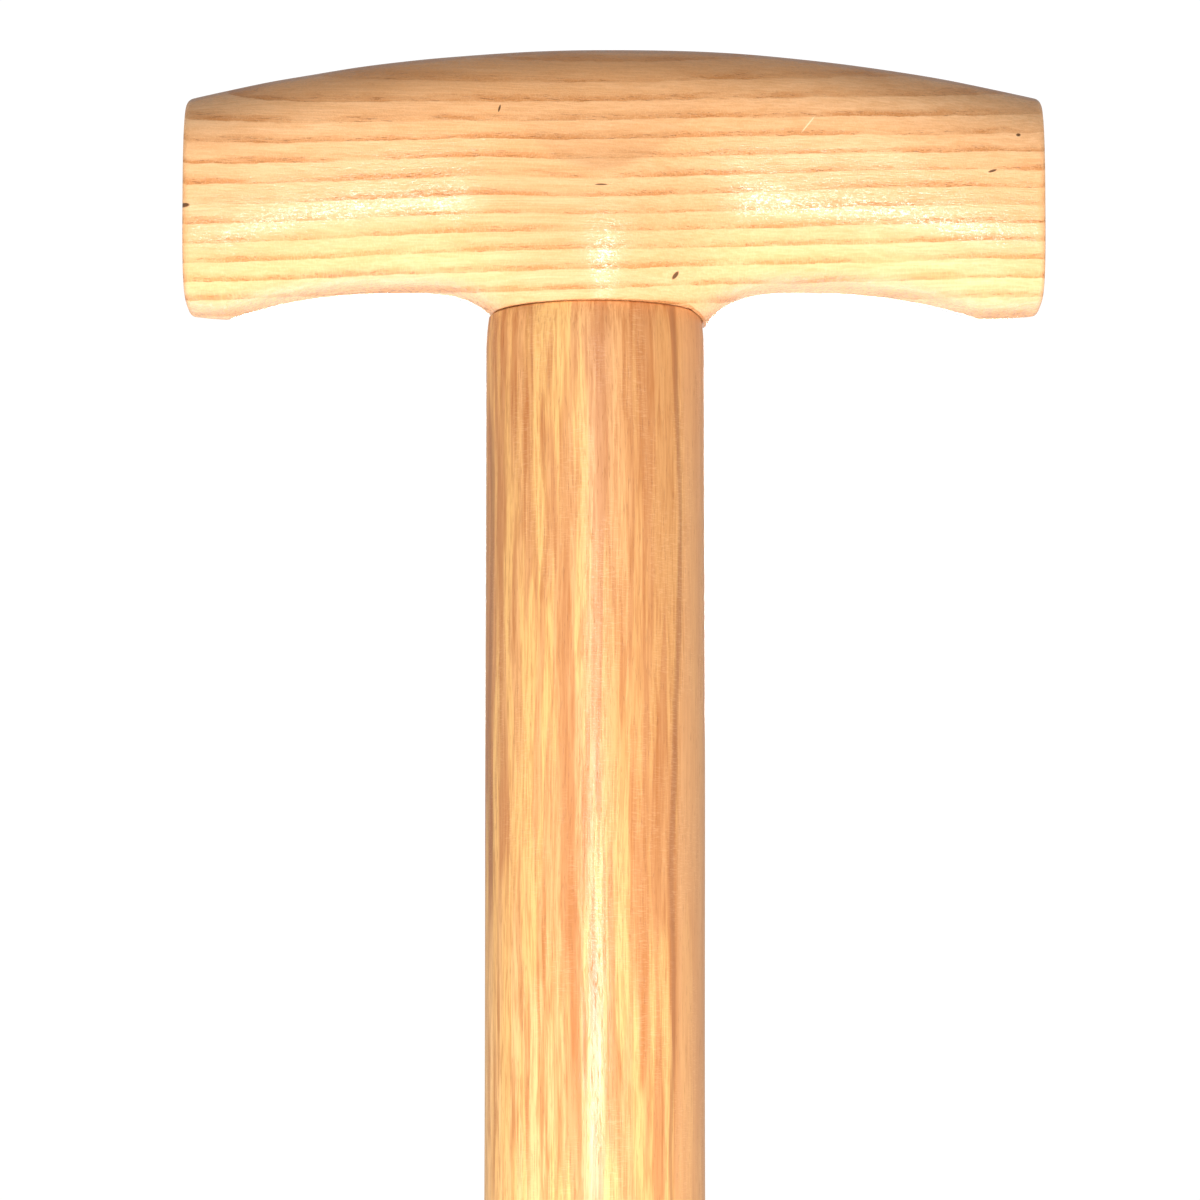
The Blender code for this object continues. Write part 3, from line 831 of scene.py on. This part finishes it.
def add_stage():
    """A pale floor under the tip."""
    bpy.ops.mesh.primitive_circle_add(vertices=96, radius=4.0, fill_type="NGON",
                                      location=(0.0, 0.0, -0.0003))
    floor = bpy.context.object
    floor.name = "floor"
    paint = Shader("floor_paint")
    x, y, z = paint.place()
    mottle = paint.noise(paint.math("MULTIPLY", x, 3.0), paint.math("MULTIPLY", y, 3.0), 0.0)
    pale = paint.mix(mottle, (0.80, 0.80, 0.79), (0.84, 0.84, 0.83))
    paint.set(Base_Color=pale, Roughness=0.9, Emission_Color=pale, Emission_Strength=FLOOR_GLOW)
    floor.data.materials.append(paint.material)


def add_area_light(name, place, target, size_x, size_y, power, color, glossy=False,
                   diffuse=True):
    """A soft rectangular lamp aimed at a point, with its power in watts.

    Only a glossy one is mirrored in lacquer and steel. One that isn't diffuse is seen only there.
    """
    lamp = bpy.data.lights.new(name, "AREA")
    lamp.shape = "RECTANGLE"
    lamp.size = size_x
    lamp.size_y = size_y
    lamp.energy = power
    lamp.color = color
    holder = bpy.data.objects.new(name, lamp)
    holder.location = place
    holder.rotation_euler = (Vector(target) - Vector(place)).to_track_quat("-Z", "Y").to_euler()
    holder.visible_camera = False
    holder.visible_glossy = glossy
    holder.visible_diffuse = diffuse
    bpy.context.scene.collection.objects.link(holder)


def add_lights():
    """A narrow key in front that the lacquer mirrors, low wide fills, and a plainer set behind."""
    warm = (1.0, 0.98, 0.95)
    high = (0.02, 0.0, 0.30)
    grip = (0.0, 0.0, 0.36)
    key = (0.02, -1.15, 0.302)
    add_area_light("key", key, high, 0.24, 0.13, 3.0, warm, glossy=True)
    add_area_light("sheen", key, high, 0.24, 0.13, 4.0, warm, glossy=True, diffuse=False)
    add_area_light("near", (0.0, -0.22, 0.12), high, 0.20, 0.10, 0.9, warm)
    add_area_light("back", (0.0, 1.00, 0.35), high, 0.8, 0.5, 3.0, warm)
    add_area_light("rim", (0.0, 0.60, 0.80), grip, 0.5, 0.4, 1.6, warm)
    add_area_light("sheen_back", (0.02, 1.10, 0.46), high, 0.24, 0.13, 2.4, warm, glossy=True,
                   diffuse=False)
    for hand in (-1.0, 1.0):
        side = "_left" if hand < 0.0 else "_right"
        add_area_light("fill" + side, (hand * 0.45, -0.35, 0.02), grip, 0.5, 0.4, 2.7, warm)
        add_area_light("back" + side, (hand * 0.45, 0.90, 0.30), high, 0.5, 0.5, 2.5, warm)


def add_world(ambient, backdrop):
    """White for the camera, a softer white for everything it lights."""
    world = bpy.data.worlds.new("white_room")
    bpy.context.scene.world = world
    world.use_nodes = True
    nodes = world.node_tree.nodes
    links = world.node_tree.links
    path = nodes.new("ShaderNodeLightPath")
    amount = nodes.new("ShaderNodeMapRange")
    amount.inputs["To Min"].default_value = ambient
    amount.inputs["To Max"].default_value = backdrop
    links.new(path.outputs["Is Camera Ray"], amount.inputs["Value"])
    background = nodes["Background"]
    background.inputs["Color"].default_value = (1.0, 1.0, 1.0, 1.0)
    links.new(amount.outputs[0], background.inputs["Strength"])


def add_camera():
    """Looks a little up at the grip from well below it, through a long lens."""
    aim = Vector((0.0008, 0.0, SEAT_Z - 0.0457))
    pitch = radians(6.5)
    distance = 1.10
    half_width = 0.0955
    camera = bpy.data.cameras.new("camera")
    camera.sensor_width = 36.0
    camera.lens = camera.sensor_width / 2.0 * distance / half_width
    camera.clip_start = 0.05
    holder = bpy.data.objects.new("camera", camera)
    look = Vector((0.0, cos(pitch), sin(pitch)))
    holder.location = aim - look * distance
    holder.rotation_euler = look.to_track_quat("-Z", "Y").to_euler()
    bpy.context.scene.collection.objects.link(holder)
    bpy.context.scene.camera = holder


def main():
    bpy.context.scene.view_settings.view_transform = "Standard"
    new_piece("t_grip_fine", grip_mesh(), grip_wood(), "t_grip")
    new_piece("shaft_fine", shaft_mesh(), shaft_wood(), "shaft")
    new_piece("grip_pin_fine", pin_mesh(), steel("pin_steel", rub=0.6, tarnish=0.7), "grip_pin")
    new_piece("steel_point_fine", point_mesh(), steel("point_steel", rub=1.0), "steel_point")
    new_piece("socket_rivet_fine", rivet_mesh(), steel("rivet_steel", rub=0.4), "socket_rivet")
    add_stage()
    add_world(ambient=0.35, backdrop=1.05)
    add_lights()
    add_camera()
    bpy.context.view_layer.update()


main()
